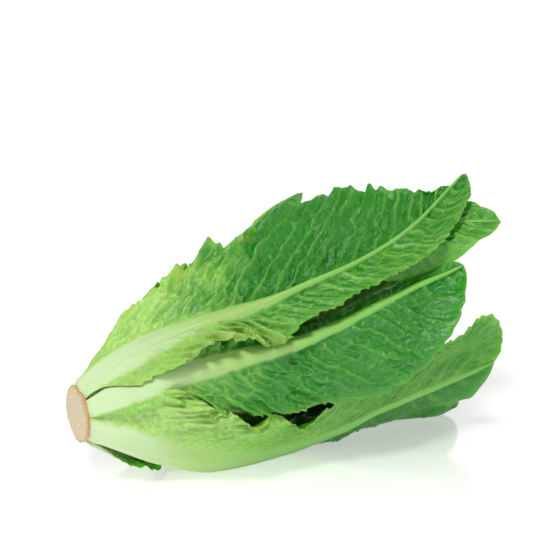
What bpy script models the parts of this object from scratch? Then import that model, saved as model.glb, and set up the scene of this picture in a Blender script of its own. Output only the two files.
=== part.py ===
"""Romaine lettuce head lying on its side, cut stem towards -X and leaf tips towards +X.

Every leaf is a loft through crescent sections. A section stands square to the head's axis: its
outer edge is the leaf's back with the midrib, its inner edge is the leaf's face. The leaves are
laid from the heart outwards, and each one is raised until it clears every leaf under it.
A place on the head is (s, angle, radius): s along the axis from the cut, the angle round the
axis (0 front, 90 up, 180 back, -90 down) and the radius from the axis.
"""

import math

import bmesh
import bpy
import numpy as np

MM = 0.001

# The head's axis
STEM_X = -144.5  # mm, the knife cut
AXIS_HEIGHT = 43.0  # mm above the ground at the cut
AXIS_PITCH = math.radians(5.0)

# The stem core: distance along the axis and radius, in mm
CORE_STATIONS = (
    (-4, 15.8), (6, 15.8), (6.01, 11.4), (14, 10.6),
    (25, 9.4), (45, 6.6), (64, 3.2), (76, 1.5),
)
CORE_SIDES = 24
KNIFE_HALF = 0.02  # m, half the side of the box that slices the core
MERGE_DISTANCE = 0.0001  # m

# The head's round outline for the inner leaves: distance along the axis and radius, in mm
OUTLINE_S = (0, 10, 30, 60, 100, 140, 180, 220, 262, 300)
OUTLINE_R = (16, 20, 33, 45, 56, 62, 64.5, 66, 65, 60)

# How a leaf is built
BLADE = 1.2  # mm, thickness of the blade beside the midrib
CLEARANCE = 0.7  # mm between two leaves that lie on each other
ROOM_FADES = (0.6, 0.85)  # shares of a leaf's length between which its room under it runs out
LEAST_DOWN = 0.05  # sine of the least angle below the horizon that meets the ground
GROUND_SOFTNESS = 0.3  # mm, how sharply a leaf turns flat where it meets the ground
RIB_FOOT = 1.6  # half widths of the midrib at which it runs out into the blade
SECTIONS = 11
SECTION_CROWDING = 1.35  # above 1, the sections stand closer together towards the tip
ACROSS = np.array((-1, -0.62, -0.32, -0.13, 0, 0.13, 0.32, 0.62, 1.0))
FIELD_STEP = 2.0  # mm along and degrees round, the grid on which clearances are kept
FIELD_LENGTH = 300  # mm
OPEN = 900.0  # mm, the radius that stands for no ground below
MOST_ROUNDS = 40
CLOSE_ENOUGH = 0.02  # mm of lacking clearance that is left as it is
RAISING = 0.8  # share of the lacking clearance by which a leaf is raised in one round

# The heart: leaves placed round the core by the golden angle
INNER_LEAVES = 12
FIRST_ANGLE = 37.0
GOLDEN_ANGLE = 137.5

# Pairs for the heart: the innermost leaf's value and the outermost's
HEART_START = (60, 29)  # mm along the axis
HEART_END = (158, 234)  # mm along the axis
HEART_END_POWER = 0.8
HEART_FULLNESS = (0.10, 0.66)  # share of the outline's radius
HEART_SPREAD = (104, 66)  # degrees on each side of the midrib
HEART_OPENING = (17, 23)  # mm in which the radius opens from the core
HEART_ROOM = (12, 8)  # mm
HEART_RIB = (2.2, 2.8)  # mm, midrib height at the base
HEART_RIB_MIDDLE = (1.7, 2.5)  # mm, a third of the way along
HEART_RIB_WIDTH = (4.5, 6.5)  # mm, half width at the base
HEART_RIB_WIDTH_MIDDLE = (3.5, 5.0)  # mm, a third of the way along
HEART_RIB_SHARES = (0, 0.3, 1)
HEART_RIB_TIP = 0.5  # mm, midrib height at the tip
HEART_RIB_WIDTH_TIP = 1.5  # mm
HEART_SHARES = (0, 0.12, 0.28, 0.45, 0.62, 0.78, 0.9, 1)
HEART_WIDTHS = (0.42, 0.62, 0.82, 0.97, 1, 0.86, 0.6, 0.16)  # share of the spread at each
HEART_FOOT = 1.5  # mm between the core and a leaf's foot
HEART_THICKNESS = (1.6, 1.4)  # mm, at the tip, and what the base has more
HEART_TIP_TURN = 0.22  # share by which the innermost leaf's tip turns in
HEART_TIP_TURN_FROM = 0.6  # share of the length where the turn starts
HEART_TIP_TURN_POWER = 1.6
LEAST_HALF_WIDTH = 2.2  # mm
HEART_FLARE = 2.0  # mm by which the outermost leaf's edges stand off more than the innermost's

# The outer leaves, inner ones first. Each line is one station of the leaf: distance along the
# axis; angles of the midrib, lower edge and upper edge; radii of the same three; half width and
# height of the midrib. "bend" is the power with which the radius changes from the midrib to the
# upper and the lower edge. "room" is the space left under the leaf for the ones outside it.
OUTER_LEAVES = {
    "back_tip_leaf": dict(
        stations=(
            (22, 98, 78, 118, 15, 14.6, 14.6, 7, 2.8),
            (36, 96, 72, 120, 25, 25, 25, 7, 3.2),
            (54, 94, 62, 122, 36.5, 36, 37, 6.5, 3.4),
            (100, 88, 54, 122, 52, 53, 54, 5.5, 3),
            (160, 78, 54, 108, 62, 64, 66, 4, 2.4),
            (205, 72, 54, 104, 68, 72, 75, 3, 1.5),
            (238, 67, 53, 88, 74, 77, 79, 2, 1),
            (254, 63, 54, 78, 75, 78, 79, 1.7, 0.7),
            (266, 60, 56, 68, 75, 77, 78, 1.5, 0.6),
        )
    ),
    "top_back_leaf": dict(
        stations=(
            (24, 136, 120, 154, 15, 14.6, 14.6, 7, 2.8),
            (38, 134, 118, 155, 28, 28, 28, 7, 3.2),
            (54, 131, 115, 155, 40, 40, 40, 6.5, 3.4),
            (90, 128, 112, 150, 60, 62, 56, 5.5, 3),
            (130, 125, 113, 137, 77, 77, 72, 4, 2.2),
            (160, 123, 114, 132, 90, 88, 84, 3, 1.4),
            (178, 122, 116, 129, 94, 92, 90, 1.5, 0.6),
        )
    ),
    "lower_tip_leaf": dict(
        stations=(
            (22, -72, -96, -48, 15, 14.6, 14.6, 7, 2.8),
            (36, -74, -104, -46, 26, 26, 26, 7, 3.2),
            (54, -76, -112, -44, 35, 36, 35, 6.5, 3.4),
            (100, -80, -116, -46, 45, 47, 43, 5.5, 3),
            (150, -80, -110, -48, 53, 57, 46, 4, 2.2),
            (184, -78, -101, -50, 60, 64, 46, 3.4, 1.8),
            (210, -75, -96, -52, 66, 70, 52, 3, 1.5),
            (226, -72, -88, -50, 68, 70, 58, 2, 1),
            (239, -68, -76, -56, 65, 66, 60, 1.5, 0.6),
        ),
        room=4.4,
    ),
    "back_high_leaf": dict(
        stations=(
            (9, 144, 126, 162, 19, 17.5, 17.5, 9, 4.8),
            (30, 148, 130, 168, 36, 35, 35, 8, 5.2),
            (50, 151, 132, 174, 48, 48, 46, 7.5, 5),
            (90, 155, 136, 180, 63, 63, 60, 6, 4),
            (140, 158, 141, 180, 68, 72, 70, 4.6, 2.8),
            (190, 154, 138, 172, 71, 77, 73, 3.4, 1.8),
            (225, 148, 133, 164, 72, 78, 73, 2.2, 1),
            (243, 145, 139, 152, 70, 74, 71, 1.6, 0.7),
        )
    ),
    "back_low_leaf": dict(
        stations=(
            (9, -148, -166, -132, 19, 17.5, 17.5, 9, 4.8),
            (37, -150, -172, -124, 40, 40, 40, 8, 5),
            (80, -150, -176, -120, 55, 57, 52, 6.5, 4),
            (130, -148, -174, -121, 61, 66, 57, 5, 2.8),
            (175, -144, -171, -118, 65, 72, 61, 3.4, 1.8),
            (205, -142, -164, -117, 66, 74, 72, 2.2, 1),
            (222, -140, -150, -130, 66, 70, 72, 1.6, 0.6),
        ),
        room=3.4,
    ),
    "back_side_leaf": dict(
        stations=(
            (7, 186, 168, 204, 20, 18.5, 18.5, 9, 5),
            (30, 187, 166, 208, 39, 38, 38, 8.5, 5.8),
            (50, 188, 164, 212, 52, 51, 50, 7.5, 5),
            (100, 190, 162, 216, 67, 67, 65, 6, 3.6),
            (150, 191, 160, 216, 73, 76, 71, 4.5, 2.6),
            (200, 190, 162, 212, 75, 79, 74, 3, 1.5),
            (228, 190, 172, 206, 75, 78, 74, 2, 1),
            (240, 190, 183, 197, 74, 75, 73, 1.8, 0.8),
        )
    ),
    "lower_front_leaf": dict(
        stations=(
            (7, -30, -68, 13, 19.5, 18, 18, 10, 5),
            (28, -42, -80, 18, 33, 34, 31, 13, 7),
            (50, -50, -82, 6, 47, 44, 46, 14, 7.5),
            (77, -57, -85, -2, 55, 57, 55, 12, 6.5),
            (104, -59, -85, -10, 57, 62, 58, 9.5, 5.4),
            (124, -58, -82, -14, 57, 64, 58, 7.5, 4.2),
            (156, -51, -78, -4, 56, 64, 58, 5.5, 3),
            (187, -43, -64, 4, 53, 58, 62, 4.2, 2),
            (210, -36, -50, 8, 53, 58, 68, 3, 1.4),
            (232, -26, -36, 19, 56, 60, 83, 2.2, 1),
            (250, -10, -18, 4, 66, 64, 76, 1.5, 0.6),
        ),
        bend=(1.6, 0.8),
    ),
    "underside_leaf": dict(
        stations=(
            (7, -106, -130, -78, 20, 18.5, 18.5, 9, 5),
            (22, -105, -132, -75, 29, 29, 30, 8.5, 5.4),
            (38, -105, -134, -77, 41, 41, 47, 8, 5),
            (50, -105, -133, -85, 46, 45, 47.5, 7.4, 4.6),
            (80, -107, -132, -95, 52, 52, 51, 6.5, 4),
            (130, -109, -123, -98, 56, 57, 57, 5, 2.8),
            (168, -109, -118, -100, 60, 61, 60, 3, 1.5),
            (190, -108, -113, -103, 60, 61, 61, 1.6, 0.6),
        )
    ),
    "front_leaf": dict(
        stations=(
            (7, 35, 17, 53, 19.5, 18, 18, 9, 5),
            (31, 33, 20, 47, 43, 40, 44, 8, 5.6),
            (50, 32, 13, 50, 50.5, 49, 53, 7.2, 5),
            (67, 32, 5, 50, 56.5, 55, 59, 6.5, 4.6),
            (88, 31, 3, 48, 60, 58, 59, 6, 4.3),
            (110, 30, -1, 41, 61, 60, 54, 5.5, 3.8),
            (136, 32, -4, 41, 63, 64, 55, 4.6, 3),
            (172, 37, -3, 46, 65, 70, 57, 3.6, 2.2),
            (200, 41, 9, 48, 67, 73, 61, 2.8, 1.5),
            (216, 42, 20, 48, 69, 74, 65, 2.2, 1),
            (229, 43, 32, 49, 72, 74, 70, 1.6, 0.6),
        )
    ),
    "top_leaf": dict(
        stations=(
            (7, 76, 59, 97, 19.5, 18, 19, 9, 5),
            (24, 68, 57, 99, 32, 31, 36, 8.6, 6),
            (44, 61, 54, 99, 47, 46, 54, 8, 5.6),
            (68, 57, 52, 95, 57.5, 57, 66, 7, 4.8),
            (84, 56.5, 50, 94.5, 61, 61, 70, 6.4, 4.4),
            (97, 56, 38, 94, 63.5, 65, 74, 6, 4),
            (125, 58, 38, 98, 67, 71, 80, 5, 3.2),
            (150, 59, 43, 106, 70, 75, 85, 4.2, 2.6),
            (178, 62, 45, 111, 73, 78, 88, 3.6, 2.2),
            (206, 67, 49, 108, 77, 81, 86, 2.8, 1.6),
            (228, 74, 57, 96, 80, 83, 81, 2.4, 1.3),
            (250, 82, 68, 96, 84, 85, 79, 2, 1),
            (265, 87, 78, 93, 87, 86, 81, 1.6, 0.6),
        )
    ),
}

# Colours of the materials
STEM_COLOUR = (0.78, 0.62, 0.40)
HEART_COLOUR = (0.66, 0.76, 0.33)
OUTER_COLOUR = (0.24, 0.42, 0.12)


def clear_scene():
    for old in list(bpy.data.objects):
        bpy.data.objects.remove(old)


def make_collection(name):
    made = bpy.data.collections.new(name)
    bpy.context.scene.collection.children.link(made)
    return made


def make_material(name, colour, roughness):
    """Plain surface with a colour, a roughness and no metal."""
    material = bpy.data.materials.new(name)
    material.use_nodes = True
    shader = material.node_tree.nodes["Principled BSDF"]
    shader.inputs["Base Color"].default_value = (*colour, 1)
    shader.inputs["Roughness"].default_value = roughness
    shader.inputs["Metallic"].default_value = 0
    return material


def through(knots, values, x):
    """Smooth curve through the knots that never overshoots them: cubic pieces with limited slopes."""
    knots, values = np.asarray(knots, float), np.asarray(values, float)
    x = np.clip(x, knots[0], knots[-1])
    widths = np.diff(knots)
    slopes = np.diff(values) / widths
    tangents = np.zeros_like(values)
    same_way = slopes[:-1] * slopes[1:] > 0
    total = np.where(same_way, slopes[:-1] + slopes[1:], 1)
    tangents[1:-1] = np.where(same_way, 2 * slopes[:-1] * slopes[1:] / total, 0)
    tangents[0], tangents[-1] = slopes[0], slopes[-1]
    piece = np.clip(np.searchsorted(knots, x, side="right") - 1, 0, len(widths) - 1)
    width = widths[piece]
    t = (x - knots[piece]) / width
    start = values[piece] * (1 + 2 * t) + tangents[piece] * width * t
    end = values[piece + 1] * (3 - 2 * t) + tangents[piece + 1] * width * (t - 1)
    return start * (1 - t) ** 2 + end * t**2


def place(s, angle, radius):
    """World point, in metres, of a place on the head."""
    s, angle, radius = np.broadcast_arrays(s, angle, radius)
    side, height = radius * np.cos(angle), radius * np.sin(angle)
    x = STEM_X + s * math.cos(AXIS_PITCH) - height * math.sin(AXIS_PITCH)
    z = AXIS_HEIGHT + s * math.sin(AXIS_PITCH) + height * math.cos(AXIS_PITCH)
    return np.stack((x, -side, z), axis=-1) * MM


def ground_radius(s, angle):
    """Distance from the axis down to the ground in the angle's direction, endless where it points up."""
    down = -np.sin(angle) * math.cos(AXIS_PITCH)
    height = AXIS_HEIGHT + s * math.sin(AXIS_PITCH)
    return np.where(down > LEAST_DOWN, height / np.maximum(down, LEAST_DOWN), OPEN)


def softer_minimum(first, second):
    return -GROUND_SOFTNESS * np.logaddexp(-first / GROUND_SOFTNESS, -second / GROUND_SOFTNESS)


def core_radius(s):
    stations = CORE_STATIONS[2:]
    radius = np.interp(s, [a for a, _ in stations], [b for _, b in stations])
    return np.where(s < stations[-1][0], radius, 0)


def leaf_shape(stations, bend=(1.6, 1.6), room=0.0):
    """One leaf's stations as named curves."""
    columns = ("s", "middle", "low", "high", "radius", "low_radius", "high_radius")
    columns += ("rib_width", "rib")
    shape = dict(zip(columns, np.array(stations, float).T))
    for angle in ("middle", "low", "high"):
        shape[angle] = np.radians(shape[angle])
    shape["bend"], shape["room"] = bend, room
    return shape


def inner_leaf_shape(index):
    """One leaf of the heart: the share goes from 0 at the innermost to 1 at the outermost."""
    share = index / (INNER_LEAVES - 1)

    def between(pair):
        return pair[0] + (pair[1] - pair[0]) * share

    angle = FIRST_ANGLE + GOLDEN_ANGLE * index
    start = between(HEART_START)
    end = HEART_END[0] + (HEART_END[1] - HEART_END[0]) * share**HEART_END_POWER
    ribs = (between(HEART_RIB), between(HEART_RIB_MIDDLE), HEART_RIB_TIP)
    rib_widths = (between(HEART_RIB_WIDTH), between(HEART_RIB_WIDTH_MIDDLE), HEART_RIB_WIDTH_TIP)
    stations = []
    for along, width in zip(HEART_SHARES, HEART_WIDTHS):
        s = start + (end - start) * along
        foot = float(core_radius(s)) + HEART_FOOT
        outline = float(through(OUTLINE_S, OUTLINE_R, s))
        opening = 1 - math.exp(-(s - start) / between(HEART_OPENING))
        radius = foot + (between(HEART_FULLNESS) * outline - foot) * opening
        radius += HEART_THICKNESS[0] + HEART_THICKNESS[1] * (1 - along)
        late = max(0, (along - HEART_TIP_TURN_FROM) / (1 - HEART_TIP_TURN_FROM))
        radius *= 1 - HEART_TIP_TURN * (1 - share) * late**HEART_TIP_TURN_POWER
        half = max(width * between(HEART_SPREAD), math.degrees(LEAST_HALF_WIDTH / radius))
        rib = np.interp(along, HEART_RIB_SHARES, ribs)
        rib_width = np.interp(along, HEART_RIB_SHARES, rib_widths)
        edge = radius + 1 + HEART_FLARE * share * along
        stations.append((s, angle, angle - half, angle + half, radius, edge, edge, rib_width, rib))
    return leaf_shape(stations, room=between(HEART_ROOM))


def spread_of(shape, s):
    """Angles of the midrib, the lower edge and the upper edge at a distance along the axis."""
    return [through(shape["s"], shape[name], s) for name in ("middle", "low", "high")]


def free_leaf(shape):
    """Places of a leaf's back before it is stacked: s, angle, radius without the midrib, midrib height."""
    start, end = shape["s"][0], shape["s"][-1]
    along = 1 - (1 - np.linspace(0, 1, SECTIONS)[:, None]) ** SECTION_CROWDING
    s = start + (end - start) * along
    middle, low, high = spread_of(shape, s)
    angle = middle + np.where(ACROSS < 0, middle - low, high - middle) * ACROSS
    radius, low_radius, high_radius = (
        through(shape["s"], shape[name], s) for name in ("radius", "low_radius", "high_radius")
    )
    rib_width, rib = (through(shape["s"], shape[name], s) for name in ("rib_width", "rib"))
    beside = np.abs((angle - middle) * radius) / rib_width
    ridge = rib * np.cos(math.pi / 2 * np.clip(beside / RIB_FOOT, 0, 1)) ** 2
    upper_bend, lower_bend = shape["bend"]
    flare = np.where(ACROSS < 0, low_radius, high_radius) - radius + rib
    blade = radius - rib + flare * np.abs(ACROSS) ** np.where(ACROSS < 0, lower_bend, upper_bend)
    room = shape["room"] * np.interp(along, ROOM_FADES, (1, 0))
    blade = softer_minimum(blade, ground_radius(s, angle) - ridge - room)
    return s + 0 * angle, angle, blade, ridge


def cell_weights(shape, field_s, field_angle):
    """Which field points a leaf covers, and the four leaf points, with weights, around each."""
    start, end = shape["s"][0], shape["s"][-1]
    middle, low, high = spread_of(shape, field_s)
    turn = np.mod(field_angle - middle + math.pi, 2 * math.pi) - math.pi
    half = np.where(turn < 0, middle - low, high - middle)
    across = turn / half
    along = (field_s - start) / (end - start)
    near_along, near_across = FIELD_STEP / (end - start), math.radians(FIELD_STEP) / half
    covered = (along >= -near_along) & (along <= 1 + near_along) & (np.abs(across) <= 1 + near_across)
    row = (1 - (1 - np.clip(along[covered], 0, 1)) ** (1 / SECTION_CROWDING)) * (SECTIONS - 1)
    across = np.clip(across[covered], -1, 1)
    i = np.clip(row.astype(int), 0, SECTIONS - 2)
    j = np.clip(np.searchsorted(ACROSS, across, side="right") - 1, 0, len(ACROSS) - 2)
    x, y = row - i, (across - ACROSS[j]) / (ACROSS[j + 1] - ACROSS[j])
    corners = (
        ((i, j), (1 - x) * (1 - y)),
        ((i + 1, j), x * (1 - y)),
        ((i, j + 1), (1 - x) * y),
        ((i + 1, j + 1), x * y),
    )
    return covered, corners, y


def stack_leaves(shapes):
    """Lays the leaves from the heart outwards. Returns each leaf's outer and inner points.

    A field over the distance along and the angle round holds the radius that is filled so far. A
    leaf is raised at its own points, bit by bit, until its face clears the field everywhere that it
    covers, with the flatness of its facets allowed for, and then its back is added to the field.
    """
    along = np.arange(0, FIELD_LENGTH, FIELD_STEP)
    around = np.radians(np.arange(0, 360, FIELD_STEP))
    field_s, field_angle = np.meshgrid(along, around, indexing="ij")
    filled = core_radius(field_s)
    leaves = {}
    for name, shape in shapes.items():
        s, angle, blade, ridge = free_leaf(shape)
        covered, corners, y = cell_weights(shape, field_s, field_angle)
        facet = np.abs(np.diff(angle, axis=1))[corners[0][0]]
        for _ in range(MOST_ROUNDS):
            back = sum(blade[place_in] * weight for place_in, weight in corners)
            sag = back * (1 - np.cos(facet / 2)) * 4 * y * (1 - y)
            lacking = filled[covered] + CLEARANCE + BLADE + sag - back
            short = lacking > CLOSE_ENOUGH
            if not short.any():
                break
            raised = np.zeros_like(blade)
            for (i, j), weight in corners:
                step = RAISING * lacking[short] * np.sqrt(weight[short])
                np.maximum.at(raised, (i[short], j[short]), step)
            blade = blade + raised
        outer = blade + ridge
        back = sum(outer[place_in] * weight for place_in, weight in corners)
        filled[covered] = np.maximum(filled[covered], back)
        leaves[name] = place(s, angle, outer), place(s, angle, blade - BLADE)
    return leaves


def loft_leaf(name, outer, inner, material, collection):
    """Closed loft: each section is a ring along the leaf's back and home along its face."""
    rows, columns = outer.shape[:2]
    rings = np.concatenate((outer, inner[:, ::-1]), axis=1)
    around = 2 * columns
    mesh = bpy.data.meshes.new(name)
    faces = []
    for i in range(rows - 1):
        for j in range(around):
            k = (j + 1) % around
            faces.append((i * around + j, i * around + k, (i + 1) * around + k, (i + 1) * around + j))
    for j in range(columns - 1):
        opposite = around - 1 - j
        faces.append((j, opposite, opposite - 1, j + 1))
        last = (rows - 1) * around
        faces.append((last + j, last + j + 1, last + opposite - 1, last + opposite))
    mesh.from_pydata(rings.reshape(-1, 3).tolist(), [], faces)
    solid = bmesh.new()
    solid.from_mesh(mesh)
    bmesh.ops.triangulate(solid, faces=solid.faces)
    bmesh.ops.recalc_face_normals(solid, faces=solid.faces)
    solid.to_mesh(mesh)
    solid.free()
    mesh.materials.append(material)
    mesh.shade_smooth()
    leaf = bpy.data.objects.new(name, mesh)
    collection.objects.link(leaf)
    return leaf


def turn_core(shift, material, collection, cutters):
    """Turned stem core along the head's axis, sliced upright by the knife."""
    profile = [(0, CORE_STATIONS[-1][0])]
    profile += [(radius, s) for s, radius in reversed(CORE_STATIONS)]
    profile += [(0, CORE_STATIONS[0][0])]
    points = [(radius * MM, 0, s * MM) for radius, s in profile]
    mesh = bpy.data.meshes.new("stem_core")
    mesh.from_pydata(points, [(k, k + 1) for k in range(len(points) - 1)], [])
    mesh.materials.append(material)
    core = bpy.data.objects.new("stem_core", mesh)
    core.location = np.array((STEM_X, 0, AXIS_HEIGHT)) * MM + shift
    core.rotation_euler = (0, math.pi / 2 - AXIS_PITCH, 0)
    collection.objects.link(core)
    turned = core.modifiers.new("Turned", "SCREW")
    turned.steps = turned.render_steps = CORE_SIDES
    turned.use_merge_vertices = True
    turned.merge_threshold = MERGE_DISTANCE
    knife = box_cutter("knife", core.location.x - KNIFE_HALF, KNIFE_HALF, cutters)
    knife.location.z = core.location.z
    cut = core.modifiers.new("Knife cut", "BOOLEAN")
    cut.operation = "DIFFERENCE"
    cut.object = knife
    return core


def box_cutter(name, x, half, collection):
    mesh = bpy.data.meshes.new(name)
    solid = bmesh.new()
    bmesh.ops.create_cube(solid, size=2 * half)
    solid.to_mesh(mesh)
    solid.free()
    cutter = bpy.data.objects.new(name, mesh)
    cutter.location.x = x
    cutter.hide_render = True
    cutter.display_type = "WIRE"
    collection.objects.link(cutter)
    return cutter


def main():
    clear_scene()
    head, cutters = make_collection("romaine_lettuce_head"), make_collection("cutters")
    stem = make_material("cut_stem", STEM_COLOUR, 0.6)
    heart = make_material("heart_leaf", HEART_COLOUR, 0.45)
    green = make_material("outer_leaf", OUTER_COLOUR, 0.4)
    shapes = {f"inner_leaf_{index + 1:02d}": inner_leaf_shape(index) for index in range(INNER_LEAVES)}
    shapes |= {name: leaf_shape(**values) for name, values in OUTER_LEAVES.items()}
    leaves = stack_leaves(shapes)
    everything = np.concatenate([side.reshape(-1, 3) for sides in leaves.values() for side in sides])
    lowest, highest = everything.min(axis=0), everything.max(axis=0)
    shift = -np.array(((STEM_X * MM + highest[0]) / 2, (lowest[1] + highest[1]) / 2, lowest[2]))
    turn_core(shift, stem, head, cutters)
    for name, (outer, inner) in leaves.items():
        material = heart if name.startswith("inner") else green
        loft_leaf(name, outer + shift, inner + shift, material, head)


main()
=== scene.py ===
"""Romaine lettuce head lying on its side, laid out as a Blender add-on and run as a script.

The frame gives every leaf as a loft of eleven sections that stand square to the head's axis. Each
leaf here is a fine closed shell carried by those sections, with its midrib, veins, blisters,
ruffles and toothed margin worked out on a grid. A place on the head is (s, angle, radius): s in
millimetres along the axis from the knife cut, the angle round the axis (0 front, 90 up, 180 back,
-90 down) and the radius from the axis in millimetres.
"""

import math
from types import SimpleNamespace

import bpy
import numpy as np
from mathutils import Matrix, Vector


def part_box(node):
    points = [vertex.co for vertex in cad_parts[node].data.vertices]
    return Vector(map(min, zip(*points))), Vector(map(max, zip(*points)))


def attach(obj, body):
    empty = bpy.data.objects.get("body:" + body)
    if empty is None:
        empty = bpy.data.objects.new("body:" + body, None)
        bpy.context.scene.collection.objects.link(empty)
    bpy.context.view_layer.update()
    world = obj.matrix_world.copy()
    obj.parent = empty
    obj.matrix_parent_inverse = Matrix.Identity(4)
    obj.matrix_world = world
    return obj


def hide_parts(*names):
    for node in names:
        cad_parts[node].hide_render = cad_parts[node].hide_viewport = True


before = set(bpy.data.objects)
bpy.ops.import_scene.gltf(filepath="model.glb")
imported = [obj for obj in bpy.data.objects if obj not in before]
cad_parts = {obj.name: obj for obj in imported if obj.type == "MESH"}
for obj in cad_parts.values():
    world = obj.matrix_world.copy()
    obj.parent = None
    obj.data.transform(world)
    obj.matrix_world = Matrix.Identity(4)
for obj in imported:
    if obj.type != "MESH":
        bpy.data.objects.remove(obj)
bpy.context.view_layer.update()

bl_info = {
    "name": "Romaine lettuce head",
    "version": (1, 0, 0),
    "blender": (4, 5, 0),
    "location": "View3D > Sidebar > Lettuce",
    "description": "Builds the leaves, the cut stem and the studio of a romaine lettuce head",
    "category": "Add Mesh",
}

MM = 0.001
AXIS_PITCH = math.radians(5.0)
STEM_LOW, STEM_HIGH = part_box("stem_core")
STEM_X = STEM_LOW.x / MM
CENTRE_Y = (STEM_LOW.y + STEM_HIGH.y) / 2 / MM
AXIS_HEIGHT = 43.66
CORE_RADIUS = 15.8

# The frame's sections, and where their nine places stand across the half width
SECTIONS = 11
ACROSS = np.array((-1, -0.62, -0.32, -0.13, 0, 0.13, 0.32, 0.62, 1.0))
FRAME_BLADE = 1.2

# A leaf that starts before this s is an outermost one, and its foot turns in to the stem
FOOT_START = 12
FOOT_OVERHANG = 1.6
INNER_ROOT = 3.0
FOOT_SINK = 2.2

# The shares of the leaf's length at which "rib" gives the midrib's half width in mm
RIB_SHARES = (0, 0.12, 0.3, 0.45, 0.65, 0.85, 1)
COMMON_RIB = (7.5, 7.6, 6.2, 4.6, 3.0, 1.7, 0.9)
HEART_RIB = (4.8, 5.0, 4.4, 3.4, 2.4, 1.4, 0.8)

# The field that holds how far out a leaf may reach: 1 mm along, 1 degree round
FIELD_LENGTH = 320
FIELD_START = -10
OPEN_AIR = 900.0
ROUNDS = 9
SLOPE = 0.9

# How far the rounded end of a leaf starts before its last section and reaches beyond it, in mm
TIP_WITHIN = 9.0
TIP_BEYOND = 3.0

# The air left under the leaf above, how far a free margin may rise, and the lowest blade, in mm
GAP = 0.5
FREE_RISE = 14.0
LOWEST = 0.5
GROUND_GAP = 0.3

# Side veins leave the midrib with this lean, and bend on with the square of the distance from it
VEIN_LEAN = 0.80
VEIN_BEND = 0.0045

# The stem's grid, and how far its side runs back into the head
STEM_TURNS = 160
STEM_RINGS = 46
STEM_DEPTH = 24

# The camera looks at the target from this far round, up and away
CAMERA_AZIMUTH = math.radians(-28)
CAMERA_ELEVATION = math.radians(19)
CAMERA_DISTANCE = 0.87
CAMERA_TARGET = (-0.00726, CENTRE_Y * MM, 0.11266)
CAMERA_LENS = 100
KEY_WAY = (0.42, 0.36, -1.0)
KEY_ANGLE = math.radians(11)

# The way the floor's glow, a painted light, grows fuller, towards the camera; it stays dimmer under and
# behind the head as painted shade
FLOOR_FRONT = (-0.47, -0.88, 0)

# Side of the table of random heights behind every noise
NOISE_SIZE = 64

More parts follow.
